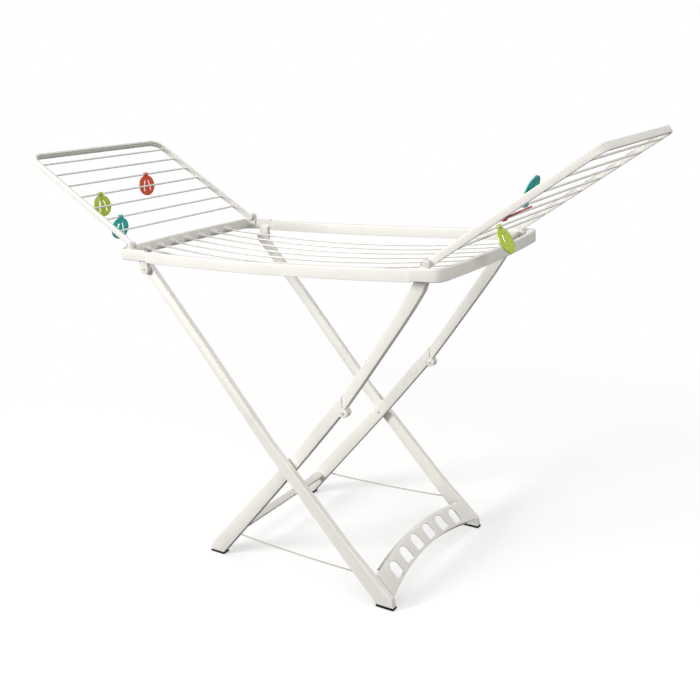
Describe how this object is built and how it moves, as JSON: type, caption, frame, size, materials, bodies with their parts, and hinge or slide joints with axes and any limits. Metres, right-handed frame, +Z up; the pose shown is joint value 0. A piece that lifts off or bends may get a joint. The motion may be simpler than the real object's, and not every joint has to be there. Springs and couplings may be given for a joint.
{
  "type": "clothes drying rack",
  "caption": "Folding clothes airer with a rodded centre frame, raised folding wings, crossed folding legs, an arched foot panel and coloured rod clips.",
  "frame": {"origin": "centre of the footprint on the floor", "axes": "+X along the airer towards the arched panel's feet, +Y across the airer, +Z up"},
  "size_m": [1.6874, 0.568, 1.1543],
  "materials": {
    "frame": "satin moulded resin",
    "leg": "satin moulded resin",
    "rod": "smooth white coating",
    "pin": "satin moulded resin",
    "rubber": "matt black rubber",
    "cord": "twisted white fibre",
    "orange": "smooth coloured resin",
    "red": "smooth coloured resin",
    "lime": "smooth coloured resin",
    "teal": "smooth coloured resin"
  },
  "bodies": {
    "top_frame": {"rail_front": "frame", "rail_rear": "frame", "end_member_left": "frame", "end_member_right": "frame", "corner_left_front": "frame", "corner_left_rear": "frame", "corner_right_front": "frame", "corner_right_rear": "frame", "centre_rod_0": "rod", "centre_rod_1": "rod", "centre_rod_2": "rod", "centre_rod_3": "rod", "centre_rod_4": "rod", "centre_rod_5": "rod", "centre_rod_6": "rod", "pin_top_pivot_front": "pin", "pin_top_pivot_rear": "pin", "pin_link_front": "pin", "pin_link_rear": "pin"},
    "left_wing": {"wing_frame_left": "frame", "wing_rod_left_0": "rod", "wing_rod_left_1": "rod", "wing_rod_left_2": "rod", "wing_rod_left_3": "rod", "wing_rod_left_4": "rod", "wing_rod_left_5": "rod", "wing_rod_left_6": "rod"},
    "right_wing": {"wing_frame_right": "frame", "wing_rod_right_0": "rod", "wing_rod_right_1": "rod", "wing_rod_right_2": "rod", "wing_rod_right_3": "rod", "wing_rod_right_4": "rod", "wing_rod_right_5": "rod", "wing_rod_right_6": "rod"},
    "upper_links": {"upper_link_front": "leg", "upper_link_rear": "leg", "pin_knuckle_front": "pin", "pin_knuckle_rear": "pin"},
    "inner_legs": {"inner_leg_front": "leg", "inner_leg_rear": "leg", "foot_inner_front": "rubber", "foot_inner_rear": "rubber", "cross_bar": "leg", "pin_crossing_front": "pin", "pin_crossing_rear": "pin", "tie_cord_front": "cord", "tie_cord_rear": "cord"},
    "outer_legs": {"outer_leg_front": "leg", "outer_leg_rear": "leg", "foot_outer_front": "rubber", "foot_outer_rear": "rubber", "spreader_panel": "leg"},
    "clip_orange": {"clip_orange": "orange"},
    "clip_lime": {"clip_lime": "lime"},
    "clip_teal": {"clip_teal": "teal"},
    "clip_teal_right": {"clip_teal_right": "teal"},
    "clip_red_right": {"clip_red_right": "red"},
    "clip_lime_right": {"clip_lime_right": "lime"}
  },
  "joints": [
    {"name": "left_wing_fold", "type": "hinge", "parent": "top_frame", "child": "left_wing", "pos_m": [-0.457, 0, 0.908], "axis": [0, 1, 0], "range_deg": [0, 147.5]},
    {"name": "right_wing_fold", "type": "hinge", "parent": "top_frame", "child": "right_wing", "pos_m": [0.457, 0, 0.908], "axis": [0, -1, 0], "range_deg": [0, 147.5]},
    {"name": "leg_fold", "type": "hinge", "parent": "top_frame", "child": "upper_links", "pos_m": [0.4375, 0, 0.88], "axis": [0, 1, 0], "range_deg": [0, 53.34]},
    {"name": "knuckle", "type": "hinge", "parent": "upper_links", "child": "inner_legs", "pos_m": [0.1925, 0, 0.5112], "axis": [0, -1, 0], "range_deg": [0, 183.4]},
    {"name": "crossing", "type": "hinge", "parent": "inner_legs", "child": "outer_legs", "pos_m": [0.0077, 0, 0.3308], "axis": [0, 1, 0], "range_deg": [0, 80.6], "deforming": ["tie_cord_front", "tie_cord_rear"]},
    {"name": "clip_orange_slide", "type": "slide", "parent": "left_wing", "child": "clip_orange", "axis": [0, 1, 0], "range_m": [-0.281, 0.141]},
    {"name": "clip_lime_slide", "type": "slide", "parent": "left_wing", "child": "clip_lime", "axis": [0, 1, 0], "range_m": [-0.051, 0.371]},
    {"name": "clip_teal_slide", "type": "slide", "parent": "left_wing", "child": "clip_teal", "axis": [0, 1, 0], "range_m": [-0.031, 0.391]},
    {"name": "clip_red_right_slide", "type": "slide", "parent": "right_wing", "child": "clip_red_right", "axis": [0, 1, 0], "range_m": [-0.003, 0.419]},
    {"name": "clip_lime_right_slide", "type": "slide", "parent": "right_wing", "child": "clip_lime_right", "axis": [0, 1, 0], "range_m": [-0.081, 0.341]},
    {"name": "clip_teal_right_swing", "type": "hinge", "parent": "right_wing", "child": "clip_teal_right", "pos_m": [0.66779, 0, 1.03162], "axis": [0, 1, 0], "range_deg": [0, 23.1]}
  ],
  "couplings": [
    {"joint": "knuckle", "follows": "leg_fold", "ratio": 3.4365},
    {"joint": "crossing", "follows": "leg_fold", "ratio": 1.5085},
    {"joint": "clip_teal_right_swing", "follows": "right_wing_fold", "ratio": 0.15593}
  ]
}
